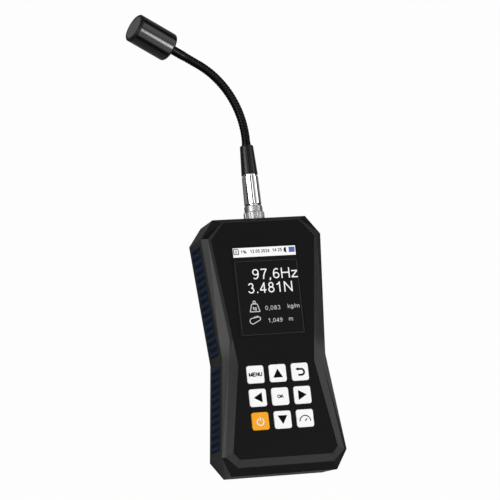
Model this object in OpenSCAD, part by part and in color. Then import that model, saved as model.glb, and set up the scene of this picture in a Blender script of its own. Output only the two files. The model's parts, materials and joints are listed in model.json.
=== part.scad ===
// Belt tension tester: a hand-held meter with a waisted housing, a colour display and nine keys, a push-pull
// sensor socket in its top wall, and a bendable arm that carries a round sensor head.
// X is the width seen from the front, Y runs from the bottom of the housing to its top, and Z points out of the
// front. The origin is the middle of the flat back, and the tester lies on that back.

/* [Housing outline] */
// Length of the housing from bottom to top
body_l = 168.4; // [166:0.1:178]
// Thickness of the housing from back to front face
body_d = 32; // [31:0.5:36]
// Half width of the top edge
top_half = 32.1; // [30:0.1:34]
// Half width at the upper shoulders
shoulder_half = 41.4; // [40:0.1:43]
// Half width at the waist
waist_half = 35.5; // [34.5:0.1:37]
// Half width at the lower corners
hip_half = 42.8; // [41:0.1:44]
// Half width of the bottom edge at the back
bottom_half = 34.5; // [33:0.1:36]
// Half width of the base's front edge
base_half = 36.4; // [35:0.1:38]
// How far the base's front edge stands out past the back
base_flare = 0.9; // [0.5:0.1:1.4]
// Height of the upper corner cuts
shoulder_drop = 12.3; // [11:0.1:13]
// Height of the lower corner cuts
hip_rise = 12.3; // [11:0.1:13.5]
// Distance of the waist below the middle of the housing
waist_drop = 8.1; // [5:0.1:10]
// Wall thickness of both shells
wall = 2.8; // [2.6:0.1:3]
// Height of the joint between the rear and the front shell
split_z = 5; // [4.6:0.1:5.2]
// Chamfer round the back edge
back_chamfer = 1.5; // [0.8:0.1:2]
// Height of the tongue of the rear shell
tongue_h = 1.5; // [1:0.1:2]
// Thickness of the seal between the shells
gasket_t = 0.9; // [0.6:0.1:1.2]

/* [Front relief] */
// Drop from the front face to the edge of the side walls
relief_drop = 3.2; // [2.6:0.1:3.8]
// Drop of the base's front edge below the edge of the side walls
base_drop = 4.6; // [3:0.1:6]
// Drop of the lower bevel at its outer edge
bevel_drop = 1.8; // [1.2:0.1:2.2]
// Width of the flat rim beside the upper part of the overlay
rim_w = 2.3; // [1.6:0.1:2.6]
// Width of the bevel round the lower part of the overlay
bevel_w = 5.7; // [4.5:0.1:6]
// Distance from the top edge of the housing to the rim
rim_top_gap = 2.3; // [2:0.1:3]
// Distance from the bottom edge of the housing to the overlay
base_gap = 10; // [9:0.1:11]
// Height at which the upper rim ends, above the waist
kink_rise = 12.1; // [9:0.1:14]

/* [Front overlay] */
// Distance of the overlay's top corners from the housing's side
overlay_top_inset = 6.2; // [5.1:0.1:8]
// Distance of the overlay's upper corners from the housing's side
overlay_shoulder_inset = 6; // [5.4:0.1:6.9]
// Distance of the overlay's waist from the housing's side
overlay_waist_inset = 9.6; // [8.5:0.1:10.5]
// Distance of the overlay's lower corners from the housing's side
overlay_hip_inset = 7.2; // [6.3:0.1:8.2]
// Distance of the overlay's bottom corners from the housing's side
overlay_bottom_inset = 2.9; // [2:0.1:4.5]
// Thickness of the overlay
overlay_t = 0.5; // [0.3:0.05:0.6]
// Depth of the overlay's pocket in the front face
overlay_pocket = 0.7; // [0.65:0.05:0.9]
// Thickness of the front plate under the overlay
plate_t = 2; // [1.8:0.1:2.2]

/* [Display] */
// Width of the display's lit area
lit_w = 43.2; // [40:0.1:44]
// Height of the display's lit area
lit_h = 57.6; // [54:0.1:58.5]
// Share of the length that the window and the keys leave free, above the window
display_top_share = 0.282; // [0.26:0.001:0.3]
// Width that the window has past the lit area on each side
window_edge = 1; // [0.8:0.1:1.2]
// Thickness of the window
window_t = 1.2; // [1:0.1:1.4]
// Thickness of the display's glass panel
panel_t = 0.6; // [0.4:0.1:0.8]
// Thickness of the dust seal under the front plate
dust_seal_t = 0.3; // [0.2:0.05:0.4]

/* [Keys] */
// Distance between the middles of neighbouring keys
key_pitch = 15.3; // [14.9:0.1:15.6]
// Width of a key
key_w = 11.5; // [11:0.1:11.6]
// Corner radius of a key
key_r = 1.5; // [1:0.1:2]
// Share of the length that the window and the keys leave free, below the keys
keys_bottom_share = 0.422; // [0.41:0.001:0.44]
// Height of a key's top above the overlay
key_proud = 0.7; // [0.4:0.1:0.8]
// Travel of a key
key_travel = 0.4; // [0.3:0.05:0.45]
// Width of the flange that holds a key behind the front plate
key_flange_w = 1; // [0.8:0.1:1.1]
// Thickness of that flange
key_flange_t = 0.8; // [0.6:0.1:1]

/* [Side grips] */
// Width of the grips, along the thickness of the housing
grip_w = 16.6; // [15:0.1:17]
// Height of the grips' lower edge above the joint of the shells
grip_rise = 0.8; // [0.6:0.1:1]
// Thickness of the grips
grip_t = 1.3; // [1.1:0.1:1.4]
// Depth of the pockets that hold the grips
grip_pocket = 0.9; // [0.7:0.1:1]
// Distance between neighbouring ribs of the grips
grip_pitch = 4.7; // [4:0.1:6]
// Depth of the grooves between the ribs
grip_groove = 0.5; // [0.3:0.05:0.6]

/* [Circuit board and battery] */
// Clearance of the circuit board beside the upper screw bosses
board_gap = 0.52; // [0.3:0.02:0.8]
// Clearance of the circuit board beside the walls at the waist
board_waist_gap = 2.1; // [1.5:0.1:3]
// Thickness of the circuit board
board_t = 1.6; // [1.2:0.1:1.8]
// Width of the battery
battery_w = 37; // [30:0.5:44]
// Length of the battery
battery_l = 60; // [50:1:62]
// Thickness of the battery
battery_t = 9.2; // [7:0.1:11]
// Thickness of the foam pad under the battery
pad_t = 0.8; // [0.5:0.1:1.2]

/* [Screws] */
// Radius of the housing screws
screw_r = 1.5; // [1.25:0.05:1.6]
// Radius of the heads of the housing screws
screw_head_r = 2.75; // [2.5:0.05:2.9]
// Radius of the board screws
board_screw_r = 1.1; // [1:0.05:1.25]

/* [Sensor socket and plug] */
// Distance of the plug's axis below the ceiling of the room for its nut
plug_drop = 7.1; // [6.8:0.1:7.8]
// Radius of the socket's flange
flange_r = 6.9; // [6.7:0.05:7.1]
// Length of the socket's flange
flange_l = 5.5; // [4.5:0.1:6]
// Radius of the socket's collar
collar_r = 6; // [5.8:0.05:6.2]
// Length of the socket's collar
collar_l = 4.3; // [3.5:0.1:5]
// Radius of the socket's threaded barrel
barrel_r = 5.5; // [5.3:0.05:5.6]
// Length of the threaded barrel behind the flange
barrel_l = 12.5; // [11.5:0.1:13]
// Radius of the plug's metal body
plug_r = 4.3; // [4.2:0.05:4.4]
// Radial running clearance of the plug and of its latch sleeve
plug_gap = 0.05; // [0.03:0.01:0.08]
// Depth to which the plug goes into the socket
plug_depth = 13.3; // [12.5:0.1:14]
// Length of the visible part of the latch sleeve
sleeve_l = 19; // [17:0.1:21]
// Radius of the latch sleeve at its lower end
sleeve_r = 5.7; // [5.5:0.05:5.9]
// Travel of the latch sleeve
sleeve_travel = 1.2; // [0.8:0.1:1.4]
// Length of the bend relief
relief_l = 20; // [18:0.1:24]
// Radius of the bend relief at its lower end
relief_r = 5.45; // [5.4:0.05:5.6]
// Radius of the bend relief at its mouth
relief_mouth_r = 4.45; // [4.2:0.05:4.6]

/* [Arm] */
// Radius of the arm over its ribs
arm_r = 2.8; // [2.7:0.05:3]
// Radius of the arm's smooth ends
arm_end_r = 3.1; // [3:0.05:3.2]
// Distance between neighbouring ribs of the arm
rib_pitch = 2; // [1.6:0.1:2.4]
// Depth of the grooves between the ribs
rib_depth = 0.3; // [0.2:0.05:0.4]
// Radius of the arm's bend
bend_r = 56; // [50:1:70]
// Angle of the arm's bend
bend_angle = 63; // [40:1:75]
// Tilt of the arm's bend towards the front
bend_tilt = 14; // [8:1:20]
// Length of the arm between the bend relief and the bend
arm_lead = 4.5; // [3.6:0.1:6]
// Length of the arm between the bend and the sensor head
arm_tail = 23.3; // [20:0.1:26]
// Radius of the balls that join the links of the arm
ball_r = 1.7; // [1.6:0.05:1.8]
// Radial running clearance of those balls
ball_gap = 0.06; // [0.04:0.01:0.08]

/* [Sensor head] */
// Radius of the sensor head
head_r = 9.7; // [9.4:0.1:10.2]
// Length of the sensor head
head_l = 29; // [27:0.5:32]
// Wall thickness of the head's shell
head_wall = 1.4; // [1.2:0.1:1.6]
// Radius of the head's rounded rear edge
head_round = 1.8; // [1.2:0.1:2.2]
// Length of the head's front ring
head_ring_l = 2; // [1.8:0.1:2.4]
// Radius of the sound mesh in the front ring
mesh_r = 7.9; // [7:0.1:8]
// Radius of the microphone capsule
capsule_r = 4.85; // [4:0.05:5]
// Length of the microphone capsule
capsule_l = 5; // [4:0.1:6]

/* [Hidden] */
$fn = 64;
// How far every cut runs past the solid that it cuts
over = 1;
// Clearance between pieces that are laid into one another
fit_gap = 0.15;
// Clearance of the keys and of the window in their openings
key_gap = 0.2;
// Share of an inset by which a cut corner moves along its edge
corner_share = 0.41;
// Share of the wall that the tongue leaves free on its outside
tongue_share = 0.57;

half_l = body_l / 2;
waist_y = -waist_drop;
shoulder_y = half_l - shoulder_drop;
hip_y = hip_rise - half_l;
kink_y = waist_y + kink_rise;
edge_z = body_d - relief_drop;
base_z = edge_z - base_drop;

overlay_top_half = top_half - overlay_top_inset;
overlay_shoulder_half = shoulder_half - overlay_shoulder_inset;
overlay_waist_half = waist_half - overlay_waist_inset;
overlay_hip_half = hip_half - overlay_hip_inset;
overlay_bottom_half = bottom_half - overlay_bottom_inset;
overlay_top_y = half_l - rim_top_gap - fit_gap - overlay_t;
overlay_shoulder_y = shoulder_y - relief_drop / 2;
overlay_waist_y = waist_y - 0.8 * bevel_w;
overlay_hip_y = hip_y + rim_w;
overlay_bottom_y = base_gap - half_l;

overlay_floor_z = body_d - overlay_pocket;
overlay_z = overlay_floor_z + overlay_t;
plate_z = overlay_floor_z - plate_t;

// Levels between the front plate and the circuit board
switch_gap = 0.05;
switch_h = 1.65;
switch_w = 4.8;
switch_body_h = 1.2;
plunger_r = 1.3;
flange_top_z = plate_z - key_gap;
key_low_z = flange_top_z - key_flange_t;
key_top_z = overlay_z + key_proud;
switch_top_z = key_low_z - key_travel - switch_gap;
board_z = switch_top_z - switch_h;
board_low_z = board_z - board_t;
shelf_gap = 0.4;
cavity_z = board_z + shelf_gap;
inner_inset = 7.2;
plug_z = cavity_z - plug_drop;

// The window and the keys share out the length that they leave free
window_w = lit_w + 2 * window_edge;
window_h = lit_h + 2 * window_edge;
keys_h = 2 * key_pitch + key_w;
free_l = body_l - window_h - keys_h;
display_y = half_l - display_top_share * free_l - window_h / 2;
keys_y = keys_bottom_share * free_l + keys_h / 2 - half_l;
KEY_PLACES = [for (row = [1, 0, -1], column = [-1, 0, 1]) [column * key_pitch, row * key_pitch + keys_y]];

// Housing screws and their bosses
boss_r = 3.4;
web_t = 2;
rear_boss_r = 1.1 * boss_r;
boss_upper_half = shoulder_half - wall - 1.2 * boss_r;
boss_upper_y = shoulder_y - 2.4 * boss_r;
boss_lower_half = hip_half - wall - 1.25 * boss_r;
boss_lower_y = hip_y + 2 * boss_r;
SCREW_PLACES = [for (side = [-1, 1]) each [
  [side * boss_upper_half, boss_upper_y], [side * boss_lower_half, boss_lower_y]]];
boss_z = split_z + tongue_h;
seal_top_z = boss_z + gasket_t;
head_pocket = 1.9;
screw_head_h = 1.7;
screw_l = 14;
pilot_top_z = head_pocket + screw_l + over;
drive_w = 0.7;
drive_l = 3.2;
drive_depth = 1;

// Circuit board, with a tab on its right for the charging socket
board_top_gap = 15.5;
board_bottom_gap = 11.9;
board_half = boss_upper_half - boss_r - board_gap;
board_waist_half = waist_half - wall - board_waist_gap;
board_top_y = half_l - board_top_gap;
board_bottom_y = board_bottom_gap - half_l;
board_tab_left = 14;
board_tab_right = 29;
board_tab_gap = 2.7;
wall_in_y = half_l - wall;
board_tab_y = wall_in_y - board_tab_gap;

// Board screws and the posts that they go into
post_r = 2.3;
post_edge = 0.4;
post_in = 5;
post_inset = post_r + post_edge;
POST_ROWS = [
  [board_half - post_inset, board_top_y - post_in], [board_waist_half - post_inset, waist_y],
  [board_half - post_inset, board_bottom_y + post_in]];
POST_PLACES = [for (side = [-1, 1], row = POST_ROWS) [side * row.x, row.y]];
board_screw_l = 4.4;
board_screw_head_r = 2;
board_screw_head_h = 1.3;

// Display
window_r = 0.8;
sight_edge = 0.3;
sight_w = lit_w + 2 * sight_edge;
sight_h = lit_h + 2 * sight_edge;
seal_rim = 1.4;
panel_edge = 1.9;
panel_foot = 2.4;
backlight_edge = 3.4;
backlight_foot = 3.6;
backlight_r = 1;
panel_w = lit_w + 2 * panel_edge;
panel_h = lit_h + 2 * panel_edge + panel_foot;
panel_y = display_y - panel_foot / 2;
backlight_w = lit_w + 2 * backlight_edge;
backlight_h = lit_h + 2 * backlight_edge + backlight_foot;
backlight_y = display_y - backlight_foot / 2;
panel_top_z = plate_z - dust_seal_t;
panel_z = panel_top_z - panel_t;

// Side grips
grip_low_z = split_z + grip_rise;
grip_end_gap = 4;
grip_waist_gap = 3.2;
groove_share = 0.3;
GRIP_SPANS = [
  [waist_y + grip_end_gap, shoulder_y - grip_end_gap],
  [hip_y + grip_end_gap + grip_waist_gap / 2, waist_y - grip_waist_gap]];

// Battery, its cradle and its lead
battery_lift = 11.8;
battery_top_y = waist_y + battery_lift;
battery_r = 2;
battery_y = battery_top_y - battery_l / 2;
cradle_t = 1.2;
cradle_h = 5;
battery_z = wall + pad_t;
battery_top_z = battery_z + battery_t;
lead_r = 0.6;
lead_half = 1.3;
battery_plug_w = 7;
battery_plug_l = 5;
battery_plug_h = 4;
lead_y = battery_top_y - battery_plug_l / 2;

// Chips on the back of the board: places, then width, length and height
chip_h = 1.2;
CHIPS = [
  [-12, 30, 12, 12], [8, 34, 9, 7], [-14, 8, 7, 7], [14, 12, 6, 5], [-8, -40, 10, 6], [12, -46, 7, 7],
  [20, 50, 6, 6], [-20, 52, 5, 4]];

// Charging socket
usb_x = (board_tab_left + board_tab_right) / 2;
usb_w = 7.6;
usb_h = 2.8;
usb_l = 6;
usb_wall = 0.4;
usb_tongue_t = 0.6;
usb_slot_edge = 0.7;
usb_slot_rise = 0.3;
usb_z = board_low_z - usb_h / 2;
usb_mouth_y = wall_in_y - fit_gap;

// Sensor socket, measured along the plug's axis
flange_y = half_l + flange_l;
collar_y = flange_y + collar_l;
barrel_y = half_l - barrel_l;
plug_end_y = collar_y - plug_depth;
socket_floor_y = plug_end_y - 2 * fit_gap;
bore_r = plug_r + plug_gap;
socket_chamfer = 0.4;
post_bore_r = 3.15;
insulator_r = post_bore_r - plug_gap;
insulator_step = 1;
contact_r = 0.45;
contact_hole_r = contact_r + plug_gap;
contact_circle_r = 1.7;
contact_count = 5;
nut_r = 6.75;
nut_t = 3;
seal_in_r = barrel_r + 0.4;
seal_out_r = flange_r - 0.3;
seal_t = 0.8;
notch_count = 20;
notch_r = 0.35;
insulator_reach = 4.7;
contact_reach = 5.7;
contact_tail = 3;
insulator_tip_y = plug_end_y + insulator_reach;
contact_end_y = insulator_tip_y - contact_reach;
contact_tail_y = barrel_y - contact_tail;
lead_strip_t = 0.3;
lead_strip_w = 8;
lead_strip_foot = 7;

// Plug and its latch sleeve
plug_wall = 0.9;
plug_bore_r = plug_r - plug_wall;
sleeve_stand_off = 0.7;
sleeve_y = collar_y + sleeve_stand_off;
sleeve_end_y = sleeve_y + sleeve_l;
sleeve_taper = 0.3;
tail_r = 4.9;
tail_l = 3.5;
relief_gap = 0.2;
relief_y = sleeve_end_y + sleeve_travel + relief_gap;
relief_end_y = relief_y + relief_l;
relief_round = 0.6;
skirt_r = tail_r + plug_gap;
skirt_end_y = sleeve_end_y + tail_l + sleeve_travel + 2 * fit_gap;
back_nut_l = 4;
back_nut_r = plug_r + 2 * plug_gap;
back_nut_wall = 0.8;
back_nut_lip = 1;
back_nut_y = skirt_end_y + back_nut_l;
collet_r = back_nut_r - back_nut_wall - plug_gap;
plug_insulator_in = 5;
plug_insulator_l = 14;
plug_insulator_y = plug_end_y + plug_insulator_in;
pin_tip_gap = 1;
pin_tail_l = 1.6;
stub_in = 3;
stub_y = skirt_end_y - stub_in;

// Arm: a straight lead, one round bend and a straight tail, cut into links with a ball at each joint
joint_count = 7;
bend_l = bend_r * bend_angle * PI / 180;
last_joint_gap = 11.3;
head_s = arm_lead + bend_l + arm_tail;
last_joint_s = head_s - last_joint_gap;
joint_pitch = (last_joint_s - arm_lead) / (joint_count - 1);
cup_share = 0.53;
stem_share = 0.6;
end_share = 1.12;
rib_share = 0.5;
pocket_r = ball_r + ball_gap;

// Sensor head, measured from its rear face along its axis
head_back_t = 2;
gland_r = arm_end_r + fit_gap;
head_bore_r = head_r - head_wall;
head_body_l = head_l - head_ring_l;
ledge = 0.8;
ledge_h = 12;
preamp_t = 1.2;
core_r = 1.2;
ferrule_wall = 1.3;
ferrule_l = 5;
arm_end_h = head_back_t + ferrule_l;
mesh_t = 0.6;
mesh_recess = 0.2;
mesh_seat = 0.9;
ring_spigot_l = 1.5;
ring_bevel = 0.7;
capsule_gap = 0.3;
mount_l = 4;
capsule_pin_r = 0.35;
capsule_pin_half = 1.3;
mesh_h = head_l - mesh_recess - mesh_t;
spigot_h = head_body_l - ring_spigot_l;
capsule_h = mesh_h - capsule_gap - capsule_l;

// Right half of the housing's outline, moved in by d, from the top to the bottom
function right_side(d) = [
  [top_half - corner_share * d, half_l - d],
  [shoulder_half - d, shoulder_y - corner_share * d],
  [waist_half - d, waist_y],
  [hip_half - d, hip_y + corner_share * d],
  [bottom_half - corner_share * d, base_flare + d - half_l]];
function mirrored(points) = [for (i = [len(points) - 1 : -1 : 0]) [-points[i].x, points[i].y]];
function outline(d) = concat(right_side(d), mirrored(right_side(d)));

// Outline of the overlay, moved out by d
function overlay_side(d) = [
  [overlay_top_half + corner_share * d, overlay_top_y + d],
  [overlay_shoulder_half + d, overlay_shoulder_y + corner_share * d],
  [overlay_waist_half + d, overlay_waist_y],
  [overlay_hip_half + d, overlay_hip_y - corner_share * d],
  [overlay_bottom_half + corner_share * d, overlay_bottom_y - d]];
function overlay_outline(d) = concat(overlay_side(d), mirrored(overlay_side(d)));

// X of the side wall's outer face at a height y
function side_x(y) = y > waist_y
  ? waist_half + (shoulder_half - waist_half) * (y - waist_y) / (shoulder_y - waist_y)
  : waist_half + (hip_half - waist_half) * (waist_y - y) / (waist_y - hip_y);

// X of the overlay's edge at a height y above its waist
function overlay_x(y) = overlay_waist_half + (overlay_shoulder_half - overlay_waist_half)
  * (y - overlay_waist_y) / (overlay_shoulder_y - overlay_waist_y);

// Angle and place of the arm's centre line at a length s from the mouth of the bend relief
function arm_angle(s) = min(max((s - arm_lead) / bend_l, 0), 1) * bend_angle;
function arm_place(s) =
  let (a = arm_angle(s), rest = max(s - arm_lead - bend_l, 0), first = min(s, arm_lead))
  [-bend_r * (1 - cos(a)) - rest * sin(a), relief_end_y + first + bend_r * sin(a) + rest * cos(a)];
function joint_s(i) = arm_lead + (i - 1) * joint_pitch;
function reach(a, b) = norm(b - a);
function heading(a, b) = atan2(a.x - b.x, b.y - a.y);

// A plate with rounded corners, centred on the Z axis
module rounded_plate(w, l, r, t) {
  linear_extrude(t) union() {
    square([w - 2 * r, l], center = true);
    square([w, l - 2 * r], center = true);
    for (x = [-1, 1], y = [-1, 1]) translate([x * (w / 2 - r), y * (l / 2 - r)]) circle(r, $fn = 32);
  }
}

// Stands a shape that is drawn along Z on the plug's axis, so that its Z becomes the row's Y
module on_plug_axis() {
  translate([0, 0, plug_z]) rotate([-90, 0, 0]) children();
}

// A turned piece on the plug's axis, from points of radius and Y
module turned(points) {
  on_plug_axis() rotate_extrude() polygon(points);
}

// A tube on the plug's axis from y1 to y2
module tube(r_out, r_in, y1, y2) {
  turned([[r_in, y1], [r_out, y1], [r_out, y2], [r_in, y2]]);
}

// Puts a shape that is drawn along Z at a length s of the arm, turned by an angle a
module on_arm(s, a) {
  translate([0, 0, plug_z]) rotate([0, bend_tilt, 0]) translate([arm_place(s).x, arm_place(s).y, 0])
    rotate([0, 0, a]) rotate([-90, 0, 0]) children();
}

// A closed skin over rings of points that lie above one another, each seen clockwise from above. The strips and
// the caps are split so that both sides of a symmetric ring look alike.
module loft(rings) {
  n = len(rings[0]);
  points = [for (ring = rings) each ring];
  strips = [for (r = [0 : len(rings) - 2], i = [0 : n - 1])
    let (a = r * n + i, b = r * n + (i + 1) % n, c = a + n, d = b + n)
    each (i < n / 2 ? [[a, b, c], [b, d, c]] : [[a, b, d], [a, d, c]])];
  top = (len(rings) - 1) * n;
  caps = [for (i = [0 : n / 2 - 2]) each [
    [n - 1 - i, n - 2 - i, i + 1, i], [top + i, top + i + 1, top + n - 2 - i, top + n - 1 - i]]];
  polyhedron(points = points, faces = concat(caps, strips));
}

// A ring of points at one height, from the right half of an outline
function ring(side, z) = [for (p = concat(side, mirrored(side))) [p.x, p.y, z]];

// The housing's outer shape above the joint of the shells, with its rim, bevels and corner facets
module front_block() {
  low = right_side(0);
  foot = [low[0], low[1], [side_x(kink_y), kink_y], low[2], low[3], low[4]];
  edge = [foot[0], foot[1], foot[2], foot[3], foot[4], [base_half, -half_l]];
  inner = [
    [overlay_top_half + corner_share * rim_w, half_l - rim_top_gap],
    [overlay_shoulder_half + rim_w, overlay_shoulder_y + corner_share * rim_w],
    [overlay_x(kink_y) + rim_w, kink_y],
    [overlay_waist_half + bevel_w, waist_y - 0.3 * bevel_w],
    [overlay_hip_half + 0.9 * bevel_w, overlay_hip_y - corner_share * bevel_w],
    [overlay_bottom_half + 0.2 * bevel_w, overlay_bottom_y - 0.9 * bevel_w]];
  top = overlay_side(fit_gap);
  crown = [top[0], top[1], [overlay_x(kink_y) + fit_gap, kink_y], top[2], top[3], top[4]];
  edge_ring = [for (p = ring(edge, edge_z)) [p.x, p.y, p.y > -half_l ? edge_z : base_z]];
  inner_ring = [for (p = ring(inner, body_d)) [p.x, p.y, p.y > waist_y ? body_d : body_d - bevel_drop]];
  loft([ring(foot, split_z), edge_ring, inner_ring, ring(crown, body_d)]);
}

// The room that one side grip takes, from a depth in the wall to a height above it. Part 0 is above the waist.
module grip_room(side, part, gap, depth, rise) {
  y1 = GRIP_SPANS[part][0] - gap;
  y2 = GRIP_SPANS[part][1] + gap;
  translate([0, 0, grip_low_z - gap]) linear_extrude(grip_w + 2 * gap) polygon([
    [side * (side_x(y1) - depth), y1], [side * (side_x(y1) + rise), y1],
    [side * (side_x(y2) + rise), y2], [side * (side_x(y2) - depth), y2]]);
}

// The deep front half of the housing, with its display sight, key openings, posts and screw bosses
module front_shell() {
  color("#26282b") difference() {
    union() {
      difference() {
        front_block();
        translate([0, 0, overlay_floor_z]) linear_extrude(overlay_pocket + over) polygon(overlay_outline(fit_gap));
        translate([0, 0, split_z - over]) linear_extrude(cavity_z - split_z + over) polygon(outline(wall));
        translate([0, 0, split_z]) linear_extrude(plate_z - split_z) polygon(outline(inner_inset));
        translate([0, 0, split_z - over]) linear_extrude(seal_top_z - split_z + over)
          polygon(outline(tongue_share * wall - fit_gap));
      }
      for (p = SCREW_PLACES) {
        translate([p.x, p.y, boss_z]) cylinder(cavity_z + shelf_gap - boss_z, r = boss_r);
        translate([p.x + sign(p.x) * boss_r, p.y, (seal_top_z + over + cavity_z) / 2])
          cube([boss_r, web_t, cavity_z - seal_top_z - over], center = true);
      }
      for (p = POST_PLACES) translate([p.x, p.y, board_z]) cylinder(plate_z - board_z + plate_t / 2, r = post_r);
    }
    // Sight of the display and the step that carries its window
    translate([0, display_y, (board_z + body_d) / 2]) cube([sight_w, sight_h, body_d - board_z], center = true);
    translate([0, display_y, overlay_z - window_t])
      rounded_plate(window_w + 2 * key_gap, window_h + 2 * key_gap, window_r + key_gap, body_d);
    for (p = KEY_PLACES) translate([p.x, p.y, board_z])
      rounded_plate(key_w + 2 * key_gap, key_w + 2 * key_gap, key_r + key_gap, body_d);
    for (p = SCREW_PLACES) translate([p.x, p.y, 0]) cylinder(pilot_top_z, r = screw_r + plug_gap);
    for (p = POST_PLACES) translate([p.x, p.y, board_low_z])
      cylinder(board_screw_l + fit_gap, r = board_screw_r + plug_gap);
    on_plug_axis() translate([0, 0, wall_in_y - wall]) cylinder(3 * wall, r = barrel_r + fit_gap);
    translate([usb_x, half_l, usb_z])
      cube([usb_w + 2 * usb_slot_edge, 4 * wall, usb_h + 2 * usb_slot_rise], center = true);
    for (side = [-1, 1], part = [0, 1]) grip_room(side, part, fit_gap, grip_pocket, over);
  }
}

// The shallow rear half of the housing, with its tongue, screw seats and the battery's cradle
module rear_shell() {
  color("#222426") difference() {
    union() {
      difference() {
        loft([ring(right_side(back_chamfer), 0), ring(right_side(0), back_chamfer), ring(right_side(0), split_z)]);
        translate([0, 0, wall]) linear_extrude(split_z) polygon(outline(wall));
      }
      translate([0, 0, wall]) linear_extrude(boss_z - wall) difference() {
        polygon(outline(tongue_share * wall));
        polygon(outline(wall));
      }
      for (p = SCREW_PLACES) translate([p.x, p.y, wall / 2]) cylinder(boss_z - wall / 2, r = rear_boss_r);
      translate([0, battery_y, wall / 2]) linear_extrude(cradle_h) difference() {
        square([battery_w + 2 * (fit_gap + cradle_t), battery_l + 2 * (fit_gap + cradle_t)], center = true);
        square([battery_w + 2 * fit_gap, battery_l + 2 * fit_gap], center = true);
      }
    }
    for (p = SCREW_PLACES) translate([p.x, p.y, -over]) {
      cylinder(boss_z + 2 * over, r = screw_r + fit_gap);
      cylinder(head_pocket + over, r = screw_head_r + fit_gap);
    }
  }
}

// The seal that lies on the rear shell's tongue
module shell_gasket() {
  color("#3a3a3c") translate([0, 0, boss_z]) linear_extrude(gasket_t) difference() {
    polygon(outline(tongue_share * wall));
    polygon(outline(wall));
  }
}

// One of the four ribbed grips in the side walls
module grip(side, part) {
  rise = grip_t - grip_pocket;
  y1 = GRIP_SPANS[part][0];
  rib_count = floor((GRIP_SPANS[part][1] - y1) / grip_pitch);
  color("#1f2c40") difference() {
    grip_room(side, part, 0, grip_pocket, rise);
    for (i = [1 : rib_count]) let (y = y1 + (i - groove_share) * grip_pitch)
      translate([side * (side_x(y) + rise), y, grip_low_z + grip_w / 2])
        cube([2 * grip_groove, groove_share * grip_pitch, grip_w * (1 - groove_share)], center = true);
  }
}

// The black sheet over the front plate, open at the window and the keys
module front_overlay() {
  color("#1b1b1b") translate([0, 0, overlay_floor_z]) difference() {
    linear_extrude(overlay_t) polygon(overlay_outline(0));
    translate([0, display_y, -over])
      rounded_plate(window_w + 2 * key_gap, window_h + 2 * key_gap, window_r + key_gap, overlay_t + 2 * over);
    for (p = KEY_PLACES) translate([p.x, p.y, -over])
      rounded_plate(key_w + 2 * key_gap, key_w + 2 * key_gap, key_r + key_gap, overlay_t + 2 * over);
  }
}

module display_window() {
  color("#101214") translate([0, display_y, overlay_z - window_t])
    rounded_plate(window_w, window_h, window_r, window_t);
}

// The soft frame that keeps dust off the display
module display_dust_seal() {
  color("#2a2a2a") translate([0, display_y, panel_top_z]) linear_extrude(dust_seal_t) difference() {
    square([sight_w + 2 * seal_rim, sight_h + 2 * seal_rim], center = true);
    square([sight_w, sight_h], center = true);
  }
}

module display_panel() {
  color("#0c0e10") translate([-panel_w / 2, panel_y - panel_h / 2, panel_z]) cube([panel_w, panel_h, panel_t]);
}

module display_backlight() {
  color("#b9bcc0") translate([0, backlight_y, board_z])
    rounded_plate(backlight_w, backlight_h, backlight_r, panel_z - board_z);
}

// The circuit board, screwed to the front shell's posts
module main_board() {
  color("#1d5c3a") translate([0, 0, board_low_z]) linear_extrude(board_t) difference() {
    polygon([
      [-board_half, board_bottom_y], [-board_waist_half, waist_y], [-board_half, board_top_y],
      [board_tab_left, board_top_y], [board_tab_left, board_tab_y], [board_tab_right, board_tab_y],
      [board_tab_right, board_top_y], [board_half, board_top_y], [board_waist_half, waist_y],
      [board_half, board_bottom_y]]);
    for (p = POST_PLACES) translate(p) circle(board_screw_r + fit_gap);
  }
}

// Chips and the battery's plug, all on the back of the board
module board_components() {
  color("#2b2d30") {
    for (chip = CHIPS) translate([chip[0] - chip[2] / 2, chip[1] - chip[3] / 2, board_low_z - chip_h])
      cube([chip[2], chip[3], chip_h]);
    translate([-battery_plug_w / 2, lead_y - battery_plug_l / 2, board_low_z - battery_plug_h])
      cube([battery_plug_w, battery_plug_l, battery_plug_h]);
  }
}

// One switch under each key
module key_switches() {
  color("#c8ccd0") for (p = KEY_PLACES) translate([p.x, p.y, board_z]) {
    translate([-switch_w / 2, -switch_w / 2, 0]) cube([switch_w, switch_w, switch_body_h]);
    cylinder(switch_h, r = plunger_r);
  }
}

// A key: a cap through the front plate and a flange behind it
module key(place, shade) {
  color(shade) translate([place.x, place.y, key_low_z]) {
    rounded_plate(key_w, key_w, key_r, key_top_z - key_low_z);
    rounded_plate(key_w + 2 * key_flange_w, key_w + 2 * key_flange_w, key_r + key_flange_w, key_flange_t);
  }
}

module battery() {
  color("#a9acb0") translate([0, battery_y, battery_z]) rounded_plate(battery_w, battery_l, battery_r, battery_t);
}

module battery_pad() {
  color("#505050") translate([-battery_w / 2, battery_y - battery_l / 2, wall]) cube([battery_w, battery_l, pad_t]);
}

// The battery's two wires, up to their plug on the board
module battery_lead() {
  color("#9c2b2b") for (side = [-1, 1]) translate([side * lead_half, lead_y, battery_top_z])
    cylinder(board_low_z - battery_plug_h - battery_top_z, r = lead_r);
}

// The charging socket, a metal box with a tongue, behind its slot in the top wall
module charging_socket() {
  color("#c4c6c9") translate([usb_x, usb_mouth_y - usb_l / 2, usb_z]) {
    difference() {
      cube([usb_w, usb_l, usb_h], center = true);
      translate([0, usb_wall, 0]) cube([usb_w - 2 * usb_wall, usb_l, usb_h - 2 * usb_wall], center = true);
    }
    cube([usb_w / 2, usb_l - 2 * usb_wall, usb_tongue_t], center = true);
  }
}

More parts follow.
